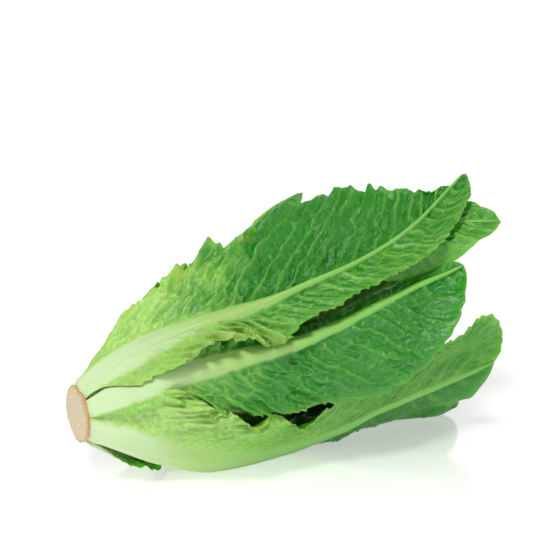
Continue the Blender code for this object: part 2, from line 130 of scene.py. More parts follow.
# What sets each outer leaf apart, the outermost first. A pair is (lower side, upper side), and
# side is 0 for the lower one and 1 for the upper one.
#   rows, columns: the grid                  ruffle, blister, lobe: heights and depths in mm
#   teeth: share of the full tooth           point: 0.4 for a blunt tip, 0.75 for a slender one
#   rib: half widths of the midrib           spacing, veins: of the side veins, spread and paleness
#   age: green at the base and at the tip    ripening: shares of the length between which it deepens
#   young_side, pale: how much lighter a side stays near the base, and all along
#   greening: how fast the midrib greens     trim: mm taken off the tip
#   foot: mm added to the foot's half width
#   cuts: (side, s, half length, depth) taken from the margin, where a depth below 0 adds a lobe
#   curls: (side, s, half length, height) by which the margin rolls out, and cups sink a side's middle
#   free: (side, s, half length) where the margin lies over its neighbour
OUTER = {
    "top_leaf": dict(
        seed=3, rows=300, columns=150, ruffle=(3.4, 4.2), blister=(0.4, 1.5), lobe=(1.6, 2.7),
        teeth=(1.0, 0.35), age=(0.0, 0.95), ripening=(0.18, 0.42), young_side=(0.7, 0.30), point=0.75,
        spacing=1.3,
        rib=(8.5, 9.8, 5.8, 2.6, 1.5, 1.1, 0.7), veins=1.7,
        cuts=(
            (0, 50, 40, -18.0), (0, 82, 12, -4.0), (0, 106, 12, -5.0), (1, 14, 4, -5.0), (1, 22, 4, 3.0),
            (1, 44, 22, 6.0), (1, 91, 9, -5.0), (1, 112, 5, 7.0), (1, 135, 16, -3.0), (1, 240, 26, 10.0),
        ),
        cups=((1, 172, 56, 10.0), (0, 235, 22, 3.0)),
        curls=((0, 60, 36, 7.5), (1, 92, 22, 4.0)), pale=(0.24, 0), foot=(1.5, 2.0),
    ),
    "front_leaf": dict(
        seed=11, rows=290, columns=150, ruffle=(2.4, 2.4), blister=(1.0, 0.8), lobe=(2.4, 1.6),
        teeth=(1.0, 0.6), age=(0.28, 1.0), ripening=(0.1, 0.46), young_side=(0.15, 0.3), point=0.45,
        spacing=1.0,
        rib=(6.4, 6.8, 5.8, 4.4, 3.0, 1.8, 0.9),
        cuts=((0, 24, 20, -3.0), (0, 92, 32, -8.0), (0, 150, 30, -3.0), (1, 24, 26, -6.0)),
        cups=((0, 205, 26, 4.0),), foot=(1.0, 4.0),
    ),
    "underside_leaf": dict(
        seed=17, rows=220, columns=100, ruffle=(1.6, 1.6), blister=(0.8, 0.8), lobe=(2.0, 2.0),
        teeth=(1.3, 1.3), age=(0.0, 0.95), ripening=(0.10, 0.2), point=0.5, rib=(15, 13, 7.5, 5, 3, 2, 1),
    ),
    "lower_front_leaf": dict(
        seed=23, rows=290, columns=150, ruffle=(1.2, 2.2), blister=(0.4, 0.6), lobe=(1.2, 3.4),
        teeth=(0.6, 1.2), age=(0.0, 1.0), ripening=(0.20, 0.68), young_side=(0.0, 0.5), point=0.4,
        spacing=1.3,
        rib=(10.0, 16.0, 15.5, 9.6, 4.4, 2.2, 1.0), free=((1, 42, 42),), pale=(0, 0.38), trim=7,
        foot=(1.0, 7.0), greening=1.45,
        cuts=(
            (1, 46, 36, -11.0), (1, 84, 6, 4.0), (1, 98, 8, -4.0), (1, 116, 8, 7.0), (1, 136, 10, -6.0),
            (1, 178, 20, -4.0), (0, 226, 18, -10.0), (1, 232, 12, -3.0),
        ),
        cups=((1, 222, 24, 7.0), (1, 60, 30, 3.0)),
        curls=((1, 40, 32, 11.0), (1, 134, 12, 4.0), (0, 236, 14, 3.0)),
    ),
    "back_side_leaf": dict(seed=31, rows=250, columns=130, cuts=((0, 120, 70, -5.0), (1, 120, 70, -6.0))),
    "back_low_leaf": dict(seed=37, rows=240, columns=120, cuts=((0, 110, 60, -6.0), (1, 110, 60, -4.0))),
    "back_high_leaf": dict(seed=41, rows=240, columns=130, cuts=((0, 110, 70, -12.0), (1, 110, 70, -8.0))),
    "lower_tip_leaf": dict(
        seed=43, rows=230, columns=120, ruffle=(1.4, 2.0), blister=(0.8, 0.8), lobe=(1.5, 2),
        teeth=(0.4, 0.4), age=(0.4, 0.88), point=0.4, cuts=((0, 205, 30, -3.0),),
    ),
    "top_back_leaf": dict(
        seed=47, rows=200, columns=90, ruffle=(2.0, 2.0), blister=(1.0, 1.0), lobe=(2, 2), teeth=(0.5, 0.5),
        age=(0.95, 1.0),
        cuts=((0, 110, 34, 7.0), (1, 110, 34, 7.0), (0, 165, 12, -5.0), (1, 165, 12, -4.0)),
        curls=((0, 118, 30, -9.0), (1, 118, 30, -9.0)), cups=((0, 118, 30, 6.0), (1, 118, 30, 6.0)),
    ),
    "back_tip_leaf": dict(
        seed=53, rows=240, columns=120, ruffle=(2.0, 2.4), blister=(0.8, 0.8), lobe=(1.6, 2.4),
        teeth=(0.3, 0.5), age=(0.45, 0.68), point=0.4, cuts=((0, 215, 34, -9.0), (1, 235, 20, -3.0)),
    ),
}
COMMON = dict(
    ruffle=(3.0, 3.0), blister=(1.4, 1.4), lobe=(3.0, 3.0), teeth=(1.0, 1.0), age=(0.05, 0.95),
    ripening=(0.15, 0.55), young_side=(0.2, 0.2), point=0.5, spacing=1.1, rib=COMMON_RIB, cuts=(), cups=(),
    curls=(), free=(), pale=(0, 0), trim=0, foot=(0, 0), veins=1.0, greening=1.0,
)
HEART_LEAF = dict(
    rows=150, columns=72, ruffle=(2.4, 2.4), blister=(0.9, 0.9), lobe=(2, 2), age=(0.05, 0.75), rib=HEART_RIB
)
HEART = [name for name in sorted(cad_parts, reverse=True) if name.startswith("inner_leaf")]


# ---------------------------------------------------------------- settings


def size_of(name, description, metres):
    """Setting for a length."""
    return bpy.props.FloatProperty(
        name=name, description=description, default=metres, unit="LENGTH", subtype="DISTANCE"
    )


def tint_of(name, description, red, green, blue):
    """Setting for a colour."""
    return bpy.props.FloatVectorProperty(
        name=name, description=description, subtype="COLOR", default=(red, green, blue), min=0, max=1
    )


class LeafSettings(bpy.types.PropertyGroup):
    """Sizes that every leaf shares."""

    blade: size_of("Blade", "Thickness of the blade between the veins", 0.0006)
    vein_spacing: size_of("Vein spacing", "Distance along the midrib between side veins", 0.0108)
    vein_height: size_of("Vein height", "How far the side veins stand out of the blade", 0.0008)
    blister_size: size_of("Blister size", "Width of one hollow between the small veins", 0.0062)
    tooth_length: size_of("Tooth length", "Distance between teeth on the margin", 0.0065)
    tooth_depth: size_of("Tooth depth", "Depth of a tooth on the margin", 0.0016)
    ruffle_length: size_of("Ruffle length", "Length of one wave of the margin", 0.0145)


class LeafColours(bpy.types.PropertyGroup):
    """Colours of the leaves and the stem."""

    rib: tint_of("Midrib", "Pale foot of a midrib", 0.50, 0.64, 0.37)
    rib_middle: tint_of("Midrib middle", "Yellow green of a midrib a third up", 0.31, 0.50, 0.13)
    rib_green: tint_of("Midrib green", "Green of a midrib towards the tip", 0.19, 0.46, 0.08)
    tender: tint_of("Tender blade", "Light yellow green of the youngest blade", 0.34, 0.57, 0.13)
    young: tint_of("Young blade", "Yellow green of the blade near the base", 0.22, 0.49, 0.05)
    deep: tint_of("Deep blade", "Full green of the blade near the tip", 0.012, 0.188, 0.008)
    heart: tint_of("Heart blade", "Pale green of the heart leaves", 0.30, 0.52, 0.08)
    heart_rib: tint_of("Heart midrib", "Near white at the foot of a heart midrib", 0.80, 0.86, 0.55)
    cut: tint_of("Cut stem", "Cream of the freshly cut stem", 0.52, 0.44, 0.28)
    ring: tint_of("Stem rings", "Lighter cream of the rings in the cut", 0.60, 0.53, 0.37)
    browned: tint_of("Browned rim", "Brown of the dried rim", 0.50, 0.27, 0.10)


class StudioSettings(bpy.types.PropertyGroup):
    """The floor and the lights."""

    floor_size: size_of("Floor", "Side of the floor", 24.0)
    surround: bpy.props.FloatProperty(
        name="Surround", description="Brightness of the white surround overhead", default=0.35
    )
    horizon: bpy.props.FloatProperty(
        name="Horizon", description="Brightness of the white surround low down", default=0.95
    )
    key: bpy.props.FloatProperty(
        name="Key light", description="Strength of the broad key light from above", default=2.45
    )
    fill: bpy.props.FloatProperty(
        name="Fill light", description="Power of the fill light", default=2.0, subtype="POWER", unit="POWER"
    )
    glow: bpy.props.FloatProperty(
        name="Floor glow", description="Light that the white floor gives off itself", default=0.68
    )


# ---------------------------------------------------------------- numbers


def noise(x, y, seed):
    """Smooth random field between -1 and 1: random heights at whole numbers, blended by a quintic ramp."""
    table = np.random.default_rng(seed).uniform(-1, 1, (NOISE_SIZE, NOISE_SIZE))
    x, y = np.broadcast_arrays(np.asarray(x, float), np.asarray(y, float))
    i, j = np.floor(x).astype(int), np.floor(y).astype(int)
    u, v = x - i, y - j
    u, v = (t**3 * (t * (t * 6 - 15) + 10) for t in (u, v))
    i, j, over, up = (k % NOISE_SIZE for k in (i, j, i + 1, j + 1))
    low = table[i, j] * (1 - u) + table[over, j] * u
    return low * (1 - v) + (table[i, up] * (1 - u) + table[over, up] * u) * v


def cells(x, y, seed):
    """Cell pattern, 0 on a border: each unit square holds one jittered point, and the value is the
    distance to the second nearest point less the distance to the nearest."""
    points = np.random.default_rng(seed).uniform(0.1, 0.9, (NOISE_SIZE, NOISE_SIZE, 2))
    i, j = np.floor(x).astype(int), np.floor(y).astype(int)
    nearest, second = np.full(x.shape, 9.0), np.full(x.shape, 9.0)
    for over in (-1, 0, 1):
        for up in (-1, 0, 1):
            point = points[(i + over) % NOISE_SIZE, (j + up) % NOISE_SIZE]
            distance = np.hypot(i + over + point[..., 0] - x, j + up + point[..., 1] - y)
            second = np.minimum(second, np.maximum(nearest, distance))
            nearest = np.minimum(nearest, distance)
    return second - nearest


def smooth(low, high, x):
    """Ramp from 0 at low to 1 at high with level ends: 3t squared less 2t cubed."""
    t = np.clip((x - low) / (high - low), 0, 1)
    return t * t * (3 - 2 * t)


def bell(x, centre, half, power=2):
    """Bell curve: e to the minus of the distance from the centre in half lengths, raised to the power."""
    return np.exp(-(((x - centre) / half) ** power))


def softer_minimum(first, second, softness=0.4):
    """The lower of two values, with the corner between them rounded."""
    return -softness * np.logaddexp(-first / softness, -second / softness)


def through(knots, values, x):
    """Smooth curves through the knots that never overshoot: cubic pieces whose slope at a knot is the
    harmonic mean of the slopes on its two sides."""
    knots, values = np.asarray(knots, float), np.asarray(values, float)
    x = np.clip(x, knots[0], knots[-1])
    shape = (-1,) + (1,) * (values.ndim - 1)
    widths = np.diff(knots)
    slopes = np.diff(values, axis=0) / widths.reshape(shape)
    tangents = np.zeros_like(values)
    same_way = slopes[:-1] * slopes[1:] > 0
    total = np.where(same_way, slopes[:-1] + slopes[1:], 1)
    tangents[1:-1] = np.where(same_way, 2 * slopes[:-1] * slopes[1:] / total, 0)
    tangents[0], tangents[-1] = slopes[0], slopes[-1]
    piece = np.clip(np.searchsorted(knots, x, side="right") - 1, 0, len(widths) - 1)
    width = widths[piece].reshape(shape)
    t = (x - knots[piece]).reshape(shape) / width
    start = values[piece] * (1 + 2 * t) + tangents[piece] * width * t
    end = values[piece + 1] * (3 - 2 * t) + tangents[piece + 1] * width * (t - 1)
    return start * (1 - t) ** 2 + end * t**2


def place(s, angle, radius):
    """World point in metres of a place on the head: along the pitched axis, then out by the radius."""
    side, height = radius * np.cos(angle), radius * np.sin(angle)
    x = STEM_X + s * math.cos(AXIS_PITCH) - height * math.sin(AXIS_PITCH)
    z = AXIS_HEIGHT + s * math.sin(AXIS_PITCH) + height * math.cos(AXIS_PITCH)
    return np.stack((x, CENTRE_Y - side, z), axis=-1) * MM


def ground_radius(s, angle):
    """Distance from the axis down to the ground in the angle's direction, endless where it points up."""
    down = -np.sin(angle) * math.cos(AXIS_PITCH)
    height = AXIS_HEIGHT + s * math.sin(AXIS_PITCH) - GROUND_GAP
    return np.where(down > 0.05, height / np.maximum(down, 0.05), OPEN_AIR)


# ---------------------------------------------------------------- the frame's leaves


def read_sections(name):
    """The sections of one leaf of the frame: s, and at nine places across each its angle, the radius of its
    inner face and the height of its ridge."""
    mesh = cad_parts[name].data
    points = np.empty(len(mesh.vertices) * 3, np.float32)
    mesh.vertices.foreach_get("co", points)
    points = np.unique(np.round(points.reshape(-1, 3).astype(float) / MM, 3), axis=0)
    if len(points) != SECTIONS * 2 * len(ACROSS):
        raise RuntimeError(f"{name} has {len(points)} points, which isn't {SECTIONS} sections")
    x, z = points[:, 0] - STEM_X, points[:, 2] - AXIS_HEIGHT
    s = x * math.cos(AXIS_PITCH) + z * math.sin(AXIS_PITCH)
    height = z * math.cos(AXIS_PITCH) - x * math.sin(AXIS_PITCH)
    side = CENTRE_Y - points[:, 1]
    order = np.argsort(s)
    s, spoke = (value[order].reshape(SECTIONS, -1) for value in (s, side + 1j * height))
    mean = np.unwrap(np.angle(spoke.mean(axis=1)))[:, None]
    angle = mean + np.angle(spoke * np.exp(-1j * mean))
    order = np.argsort(angle, axis=1)
    angle, radius = (
        np.take_along_axis(value, order, 1).reshape(SECTIONS, -1, 2) for value in (angle, np.abs(spoke))
    )
    face, back = radius.min(axis=2), radius.max(axis=2)
    return s.mean(axis=1), angle.mean(axis=2), face, back - face - FRAME_BLADE


class Room:
    """How far out a leaf may reach at each place on the head, lowered by every leaf that is laid over
    it."""

    def __init__(self):
        self.radius = np.full((FIELD_LENGTH, 360), OPEN_AIR)

    def at(self, s, angle):
        """Radius of the room at places, blended between the field's four nearest points."""
        row = np.clip(s - FIELD_START, 0, FIELD_LENGTH - 1.01)
        column = np.mod(np.degrees(angle), 360)
        i, j = row.astype(int), column.astype(int) % 360
        x, y, k = row - i, column - np.floor(column), (column.astype(int) + 1) % 360
        f = self.radius
        return (f[i, j] * (1 - x) + f[i + 1, j] * x) * (1 - y) + (f[i, k] * (1 - x) + f[i + 1, k] * x) * y

    def lay(self, s, angle, radius):
        """Lowers the room to a leaf's face, and lets it rise again by a fixed slope beyond the leaf's
        margin."""
        i = np.clip(np.rint(s - FIELD_START).astype(int), 0, FIELD_LENGTH - 1)
        j = np.rint(np.degrees(angle)).astype(int) % 360
        low = np.full_like(self.radius, OPEN_AIR)
        np.minimum.at(low, (i, j), radius)
        for step in range(ROUNDS):
            rise = 0 if step == 0 else SLOPE
            for axis in (0, 1):
                low = np.minimum(low, np.minimum(np.roll(low, 1, axis), np.roll(low, -1, axis)) + rise)
        self.radius = np.minimum(self.radius, low)


# ---------------------------------------------------------------- leaf surfaces


def by_side(high, pair):
    """The second of a pair on the upper side of the midrib, and the first on the lower side."""
    return np.where(high, pair[1], pair[0])


def margin(s, side, character, settings):
    """Distance in mm by which the margin leaves its even line: broad lobes of noise, teeth that rise
    slowly and drop sharply, both weaker towards the tip, and the leaf's own cuts as bell curves."""
    seed = character["seed"] + 100 * side
    lobe = character["lobe"][side]
    older = smooth(130, 165, s)
    phase = s / (settings.tooth_length / MM) + 1.7 * noise(s / 13, 0.5, seed + 1)
    rise = phase - np.floor(phase)
    teeth = rise**1.6 * (1 - smooth(0.85, 1.0, rise))
    strength = character["teeth"][side] * (0.55 + 0.55 * noise(s / 11, 2.5, seed + 2))
    reach = lobe * (noise(s / 21, 4.5, seed + 3) + 0.45 * noise(s / 9, 7.5, seed + 4)) - 0.2 * lobe
    reach = reach * (1 - 0.6 * older)
    reach = reach + settings.tooth_depth / MM * (teeth - 0.4) * strength * 2.2 * (1 - 0.4 * older)
    for where, centre, half, depth in character["cuts"]:
        if where == side:
            reach = reach - depth * bell(s, centre, half)
    return reach


def outline(name, character, settings):
    """Grid of one leaf before its relief. The sections give its angle, half width, radius and ridge. The
    half width shrinks at the tip as a power of one less the square of the way through it, and the radius
    across closes with it. The foot of an outermost leaf turns in to the stem."""
    ends, angles, faces, ridges = read_sections(name)
    first, last = ends[0], ends[-1] - character["trim"]
    outermost = first < FOOT_START
    root = first - FOOT_OVERHANG if outermost else INNER_ROOT
    rows = np.linspace(first - root, last + TIP_BEYOND, character["rows"])

    def along(values):
        return through(ends, values, rows)

    rounding = np.clip((rows - last + TIP_WITHIN) / (TIP_BEYOND + TIP_WITHIN), 0, 1)
    close = ((1 - rounding**2 + 0.0008) ** character["point"])[:, None]
    share = np.clip((rows - first) / (last - first), 0, 1)[:, None]
    inwards = outermost * smooth(0, root, first - rows)[:, None]

    # v runs from -1 at the lower margin to 1 at the upper one, closer near the margins
    even = np.linspace(-1, 1, character["columns"])
    v = even * (1.15 - 0.15 * even**2)
    high = v > 0
    middle = along(angles[:, 4:5])
    halves = along(angles[:, 4:5] - angles[:, :1]), along(angles[:, 8:] - angles[:, 4:5])
    half = by_side(high, halves) * close
    crest = along(faces[:, 4:5])
    face = crest + (through(ACROSS, along(faces).T, v).T - crest) * close
    s = rows[:, None] + 0 * face
    blade = (face + FRAME_BLADE / 2) * (1 - inwards) + (CORE_RADIUS - FOOT_SINK) * inwards
    s = s + blade * np.sin(middle) * math.tan(AXIS_PITCH) * inwards

    reach = by_side(high, [margin(rows, side, character, settings)[:, None] for side in (0, 1)])
    reach = reach * smooth(0.0, 0.09, share) * close**1.5
    reach = reach + by_side(high, character["foot"]) * (1 - smooth(0.05, 0.24, share))
    angle = middle + half * v + np.sign(v) * reach / blade * np.abs(v) ** 4
    edge = np.abs(v) + 0 * s
    return SimpleNamespace(
        s=s, angle=angle, blade=blade, aside=(angle - middle) * blade, way=np.sign(v), high=high, edge=edge,
        to_edge=(1 - edge) * half * blade, share=share, close=close,
        ridge=along(ridges[:, 4:5]) * close * (1 - 0.7 * inwards),
    )


def midrib(leaf, character):
    """Bank, colour mask and surroundings of the midrib, by the distance from its middle in half widths:
    the bank falls to 0 at 1.45, the colour ends near 1, and the blade's relief comes in from 0.8 to
    1.9."""
    half = np.interp(leaf.share, RIB_SHARES, character["rib"]) * (0.35 + 0.65 * leaf.close)
    beside = np.abs(leaf.aside) / half
    bank = (1 - smooth(0.0, 1.45, beside)) ** 0.85
    wander = 0.10 * noise(leaf.s / 4, leaf.aside / 3, character["seed"] + 8)
    return bank, 1 - smooth(0.72, 1.18, beside + wander), smooth(0.8, 1.9, beside)


def side_veins(leaf, seed, spacing):
    """Feet of the side veins and the distance to the nearest one. The foot is s less the lean times the
    distance to the midrib less a square term, with a wiggle of noise, and a vein runs where the foot is a
    whole number of spacings, each moved a little."""
    away = np.abs(leaf.aside)
    wiggle = 3.6 * noise(leaf.s / 17, away / 14, seed + 5) + 1.3 * noise(leaf.s / 6, away / 6, seed + 6)
    foot = leaf.s - VEIN_LEAN * away - VEIN_BEND * away**2 + wiggle
    number = np.floor(foot / spacing + 0.5)
    shift = 0.22 * noise(number * 1.37 + 0.5, np.where(leaf.aside < 0, 13.5, 40.5), seed + 7)
    offset = (foot / spacing - number - shift) * spacing
    return foot, offset / np.sqrt(1 + (VEIN_LEAN + 2 * VEIN_BEND * away) ** 2)


def blade_relief(leaf, character, settings):
    """Height of the blade's own surface in mm, the masks of its veins and of its hollows, and the veins'
    feet; the hollow mask later paints shade into the blade's colour. Side veins are narrow bell curves, the
    borders of a cell pattern make the net between them, the blade sinks inside the cells and midway between
    veins, and noise puckers it."""
    seed = character["seed"]
    s, aside, away = leaf.s, leaf.aside, np.abs(leaf.aside)
    spacing = settings.vein_spacing / MM * character["spacing"]
    foot, offset = side_veins(leaf, seed, spacing)
    breadth = 0.85 * np.clip(1 - away / 60, 0.3, 1) + 0.1
    side_vein = bell(offset, 0, breadth) * smooth(0.0, 7.0, leaf.to_edge)
    side_vein = side_vein * np.clip(0.75 + 0.6 * noise(s / 16, aside / 14, seed + 22), 0.15, 1)
    size = settings.blister_size / MM
    wander = 0.4 * noise(s / 6, aside / 6, seed + 9)
    net = cells(foot / size + 20, aside / size * 0.9 + 20 + wander, seed + 10)
    small_vein = bell(net, 0, 0.10)
    hollow = smooth(0.0, 0.42, net)
    between = np.sin(math.pi * np.clip(np.abs(offset) / (0.5 * spacing), 0, 1)) ** 2
    blister = by_side(leaf.high, character["blister"])
    patch = 0.75 + 0.5 * noise(s / 23, aside / 19, seed + 11)
    height = -blister * (hollow + 0.75 * between) * patch * smooth(1.0, 7.0, leaf.to_edge)
    height += settings.vein_height / MM * (side_vein + 0.28 * small_vein)
    height += 0.25 * noise(s / 2.6, aside / 2.6, seed + 12) * np.minimum(blister, 1)
    pucker = 1.5 * noise(foot / 8.5, away / 17, seed + 19) + 0.8 * noise(foot / 4.5, away / 7, seed + 20)
    vein = 0.9 * character["veins"] * side_vein + 0.4 * small_vein
    # The hollow mask, fullest inside the cells and midway between veins, paints shade into the blade's colour
    return height + blister * pucker, vein, hollow * between, foot


def bulges(leaf, places, across):
    """Heights in mm of rolls or cups: bell curves along one side of the leaf, times a shape across it."""
    total = np.zeros_like(leaf.s)
    for side, centre, half, height in places:
        total += height * bell(leaf.s, centre, half) * (leaf.high == bool(side)) * across
    return total


def frills(leaf, foot, character, settings):
    """Slow waves of the blade, the ruffle and its slide along s, in mm. The ruffle is a sine along the
    veins' feet and a finer one, both bent by noise, fading with the distance from the margin."""
    seed = character["seed"]
    s, aside = leaf.s, leaf.aside
    waves = 1.8 * noise(s / 44, aside / 26, seed + 13) + 0.9 * noise(foot / 19, aside / 20, seed + 14)
    ruffle = by_side(leaf.high, character["ruffle"]) * (1.25 - smooth(0.38, 0.62, leaf.share))
    length = settings.ruffle_length / MM
    turn = 2 * math.pi * (foot / length + 0.55 * noise(foot / 31, aside / 30, seed + 15))
    finer = 2 * math.pi * (foot / (0.43 * length) + 0.8 * noise(foot / 17, 3.5, seed + 16))
    swell = 0.7 + 0.6 * noise(s / 27, by_side(leaf.high, (3.5, 9.5)), seed + 17)
    near = np.exp(-leaf.to_edge / 9.0) * smooth(0.25, 0.7, leaf.edge)
    young = (1 - smooth(0.25, 0.42, leaf.share)) * by_side(leaf.high, character["young_side"])
    ruffle = ruffle * near * swell
    wave = np.sin(turn) + (0.42 + 0.75 * young) * np.sin(finer)
    return waves, ruffle * wave, -0.15 * ruffle * np.sin(2 * turn)


def colour_masks(leaf, s, rib, off_rib, vein, hollow, character):
    """Masks for the materials, each 0 to about 1. The green's age ramps up along the leaf with a drift of
    noise, and is held back on a pale side and near a young margin. The hollow mask marks where painted shade
    deepens the blade's colour."""
    seed, share = character["seed"], leaf.share
    young_side = by_side(leaf.high, character["young_side"])
    young, old = character["age"]
    drift = 0.10 * noise(s / 18, leaf.aside / 16, seed + 18)
    age = young + (old - young) * smooth(*character["ripening"], share + drift)
    age = age * (1 - by_side(leaf.high, character["pale"]))
    age = age - young_side * (1 - smooth(0.30, 0.50, share)) * smooth(0.3, 0.9, leaf.edge) * age
    drift = 0.09 * noise(s / 15, leaf.aside / 13, seed + 21) - 0.10 * young_side * leaf.edge
    return {
        "tender": 1 - smooth(0.04, 0.40, share + drift),
        "rib": rib * (0.25 + 0.75 * leaf.close),
        "vein": np.clip(off_rib * vein, 0, 1.4),
        "age": np.clip(age, 0, 1),
        "share": share * character["greening"] + 0 * s,
        "margin": np.exp(-leaf.to_edge / 1.6),
        # Painted shade: the blade's hollows between the veins
        "hollow": np.clip(off_rib * hollow, 0, 1),
    }


def leaf_form(name, character, settings, room):
    """Grids of one leaf's back and face, its masks, and its chart of s and the distance from the midrib.
    The back stands on the outline's radius with the midrib's bank, the blade's relief and waves, and the
    ruffles, curls and cups, held under the room the leaves above leave and over the ground. The face lies
    under it by the blade's thickness and most of the bank."""
    leaf = outline(name, character, settings)
    bank, rib, off_rib = midrib(leaf, character)
    relief, vein, hollow, foot = blade_relief(leaf, character, settings)
    waves, ruffle, slide = frills(leaf, foot, character, settings)
    curl = bulges(leaf, character["curls"], leaf.edge**2.2)
    cup = bulges(leaf, character["cups"], np.sin(math.pi * leaf.edge**0.8) ** 1.5)
    growing = smooth(0.04, 0.22, leaf.share) * leaf.close
    angle = leaf.angle - leaf.way * 0.35 * curl / leaf.blade * leaf.edge
    s = leaf.s + growing * slide
    back = leaf.blade + 0.25 + off_rib * growing * (relief + waves) + growing * (ruffle + curl - cup)
    back = back + leaf.ridge * bank
    space = room.at(s, angle) - GAP
    for side, centre, half in character["free"]:
        stretch = bell(s, centre, half, 4) * (leaf.high == bool(side))
        space += FREE_RISE * stretch * smooth(0.5, 0.8, leaf.edge)
    back = softer_minimum(back, softer_minimum(space, ground_radius(s, angle)))
    thickness = settings.blade / MM * (0.55 + 0.45 * smooth(0, 4, leaf.to_edge)) + leaf.ridge * bank * 0.92
    face = np.maximum(back - thickness, LOWEST)
    room.lay(s, angle, face)
    masks = colour_masks(leaf, s, rib, off_rib, vein, hollow, character)
    return place(s, angle, back), place(s, angle, face), masks, (s, leaf.aside)


def grid_faces(ids):
    """Quads between neighbouring rows and columns of a grid of points."""
    return np.stack((ids[:-1, :-1], ids[1:, :-1], ids[1:, 1:], ids[:-1, 1:]), axis=-1).reshape(-1, 4)


def shell_faces(rows, columns):
    """Quads of a closed shell: the back grid, the face grid turned over, and a wall along each of the
    four sides."""
    back = np.arange(rows * columns).reshape(rows, columns)
    face = back + rows * columns
    walls = ((face[:, 0], back[:, 0]), (back[:, -1], face[:, -1]), (back[0], face[0]), (face[-1], back[-1]))
    walls = [grid_faces(np.stack(pair, axis=1)) for pair in walls]
    return np.concatenate((grid_faces(back), grid_faces(face)[:, ::-1], *walls))


def make_piece(name, points, faces, material, masks=None, chart=None):
    """New smooth mesh object from points and quads, with masks as point attributes and a UV map in
    centimetres."""
    old = bpy.data.objects.get(name)
    if old is not None:
        bpy.data.objects.remove(old)
    mesh = bpy.data.meshes.new(name)
    mesh.vertices.add(len(points))
    mesh.vertices.foreach_set("co", points.astype(np.float32).ravel())
    mesh.loops.add(faces.size)
    mesh.loops.foreach_set("vertex_index", faces.astype(np.int32).ravel())
    mesh.polygons.add(len(faces))
    mesh.polygons.foreach_set("loop_start", np.arange(0, faces.size, 4, dtype=np.int32))
    mesh.polygons.foreach_set("loop_total", np.full(len(faces), 4, np.int32))
    mesh.update(calc_edges=True)
    mesh.validate()
    mesh.shade_smooth()
    for key, values in (masks or {}).items():
        mask = mesh.attributes.new(key, "FLOAT", "POINT")
        mask.data.foreach_set("value", values.astype(np.float32).ravel())
    if chart is not None:
        layer = mesh.uv_layers.new(name="Surface")
        layer.data.foreach_set("uv", chart[faces.ravel()].astype(np.float32).ravel())
    mesh.materials.append(material)
    piece = bpy.data.objects.new(name, mesh)
    bpy.context.scene.collection.objects.link(piece)
    return piece


def make_leaf(name, character, settings, room, material):
    """One leaf as a closed shell that stands for its node of the frame."""
    back, face, masks, (s, aside) = leaf_form(name, character, settings, room)
    points = np.concatenate((back.reshape(-1, 3), face.reshape(-1, 3)))
    chart = np.tile(np.stack((s, aside), axis=-1).reshape(-1, 2) / 10, (2, 1))
    masks = {key: np.tile(values.ravel(), 2) for key, values in masks.items()}
    leaf = make_piece(f"{name}_blade", points, shell_faces(*back.shape[:2]), material, masks, chart)
    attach(leaf, "root")
    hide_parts(name)


# ---------------------------------------------------------------- materials


def add(tree, kind, values=None, **settings):
    """One node with its settings and input values."""
    node = tree.nodes.new(kind)
    for key, value in settings.items():
        setattr(node, key, value)
    for key, value in (values or {}).items():
        node.inputs[key].default_value = value
    return node


def wire(tree, *links):
    """Joins sockets in pairs: (from, to)."""
    for start, end in links:
        tree.links.new(start, end)


def math_node(tree, operation, first, second=None, third=None):
    """Result of one sum, where each term is a socket or a number."""
    node = add(tree, "ShaderNodeMath", operation=operation)
    for socket, value in zip(node.inputs, (first, second, third)):
        if value is None:
            continue
        if isinstance(value, bpy.types.NodeSocket):
            tree.links.new(value, socket)
        else:
            socket.default_value = value
    return node.outputs[0]


def mixed(tree, factor, first, second, blend="MIX"):
    """Mix of two colours, where each is a socket or four numbers."""
    node = add(tree, "ShaderNodeMix", data_type="RGBA", blend_type=blend)
    for socket, value in zip((node.inputs[0], node.inputs[6], node.inputs[7]), (factor, first, second)):
        if isinstance(value, bpy.types.NodeSocket):
            tree.links.new(value, socket)
        else:
            socket.default_value = value
    return node.outputs[2]


def clamped(tree, value):
    """The value held between 0 and 1."""
    node = add(tree, "ShaderNodeClamp")
    tree.links.new(value, node.inputs["Value"])
    return node.outputs[0]


def grey(tree, value):
    """Grey of a value."""
    node = add(tree, "ShaderNodeCombineColor")
    for socket in list(node.inputs)[:3]:
        tree.links.new(value, socket)
    return node.outputs[0]


